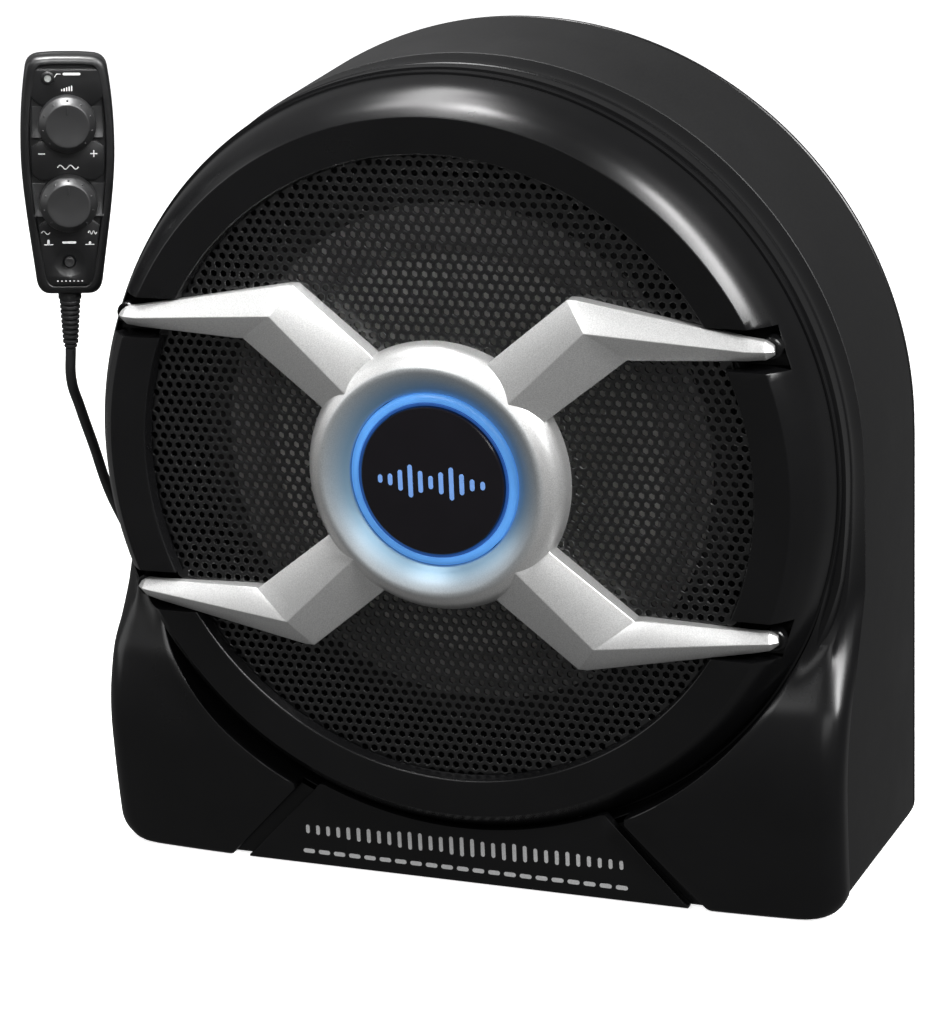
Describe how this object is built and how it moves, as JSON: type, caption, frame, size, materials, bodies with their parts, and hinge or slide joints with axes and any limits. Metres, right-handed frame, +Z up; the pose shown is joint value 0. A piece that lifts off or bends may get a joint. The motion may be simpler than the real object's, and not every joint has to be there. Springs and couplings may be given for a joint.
{
  "type": "powered car subwoofer",
  "caption": "Slim powered car subwoofer: rounded cabinet with perforated grille, silver cross trim, lit hub and a wired control box on its cord.",
  "frame": {"origin": "centre of the flat underside that the cabinet stands on, midway between the grille plane and the rear panel", "axes": "+Z up, +X to the right seen from the front, +Y toward the rear panel; the grille and silver trim face -Y"},
  "size_m": [0.3245, 0.206, 0.3084],
  "materials": {
    "satin_black": "satin black moulding",
    "shell_grey": "fine matt charcoal moulding",
    "silver": "metallic silver paint over plastic",
    "glow_blue": "lit translucent blue",
    "badge_black": "smooth near-black",
    "grille_steel": "black coated perforated sheet",
    "frame_steel": "black enamel",
    "rubber_black": "soft matt",
    "cone_grey": "coated grey pulp",
    "spider_cloth": "treated cloth",
    "plated_steel": "zinc plated",
    "ferrite": "matt sintered",
    "circuit_board": "green solder mask",
    "copper_wire": "enamelled winding",
    "aluminium": "extruded, bead blasted",
    "brass": "gold plated",
    "can_dark": "sleeved can",
    "fuse_blue": "tinted clear",
    "lamp_clear": "clear lamp",
    "cord_black": "flexible sheath"
  },
  "bodies": {
    "cabinet": {"amplifier_board": "circuit_board", "back_plate": "plated_steel", "capacitor_1": "can_dark", "capacitor_2": "can_dark", "connection_panel": "satin_black", "control_back": "satin_black", "control_board": "circuit_board", "control_cord": "cord_black", "control_cord_end": "cord_black", "control_front": "satin_black", "control_plug": "cord_black", "control_socket": "satin_black", "control_strain_relief": "rubber_black", "cord_coil": "cord_black", "driver_basket": "frame_steel", "driver_screw_1": "plated_steel", "driver_screw_2": "plated_steel", "driver_screw_3": "plated_steel", "driver_screw_4": "plated_steel", "driver_screw_5": "plated_steel", "driver_screw_6": "plated_steel", "frequency_control": "plated_steel", "front_moulding": "satin_black", "front_ring": "satin_black", "fuse": "fuse_blue", "gain_control": "plated_steel", "grille": "grille_steel", "hub_badge": "badge_black", "input_jack_1": "brass", "input_jack_2": "brass", "led_board": "circuit_board", "light_ring": "glow_blue", "magnet": "ferrite", "name_plate": "satin_black", "phase_switch": "can_dark", "power_lamp": "lamp_clear", "power_terminals": "satin_black", "rear_cooler": "aluminium", "rear_panel": "satin_black", "rear_screw_1": "plated_steel", "rear_screw_2": "plated_steel", "rear_screw_3": "plated_steel", "rear_screw_4": "plated_steel", "rear_screw_5": "plated_steel", "rear_screw_6": "plated_steel", "rear_shell": "shell_grey", "silver_trim": "silver", "spider": "spider_cloth", "surround": "rubber_black", "terminal_screw_1": "brass", "terminal_screw_2": "brass", "terminal_screw_3": "brass", "top_plate": "plated_steel", "toroid_coil": "copper_wire"},
    "cone_assembly": {"cone": "cone_grey", "dust_cap": "cone_grey", "voice_coil": "copper_wire"},
    "gain_knob": {"gain_knob": "satin_black"},
    "frequency_knob": {"frequency_knob": "satin_black"},
    "phase_button": {"phase_button": "satin_black"}
  },
  "joints": [
    {"name": "cone_travel", "type": "slide", "parent": "cabinet", "child": "cone_assembly", "axis": [0, 1, 0], "range_m": [-0.004, 0.004], "stiffness_N_per_m": 2500, "deforming": ["surround", "spider"]},
    {"name": "gain_turn", "type": "hinge", "parent": "cabinet", "child": "gain_knob", "pos_m": [-0.14769, -0.03557, 0.27926], "axis": [-0.4794, 0.8776, 0], "range_deg": [-150, 150]},
    {"name": "frequency_turn", "type": "hinge", "parent": "cabinet", "child": "frequency_knob", "pos_m": [-0.14924, -0.03642, 0.24982], "axis": [-0.4794, 0.8776, 0], "range_deg": [-150, 150]},
    {"name": "phase_press", "type": "slide", "parent": "cabinet", "child": "phase_button", "axis": [-0.4794, 0.8776, 0], "range_m": [0, 0.0016], "stiffness_N_per_m": 300}
  ]
}
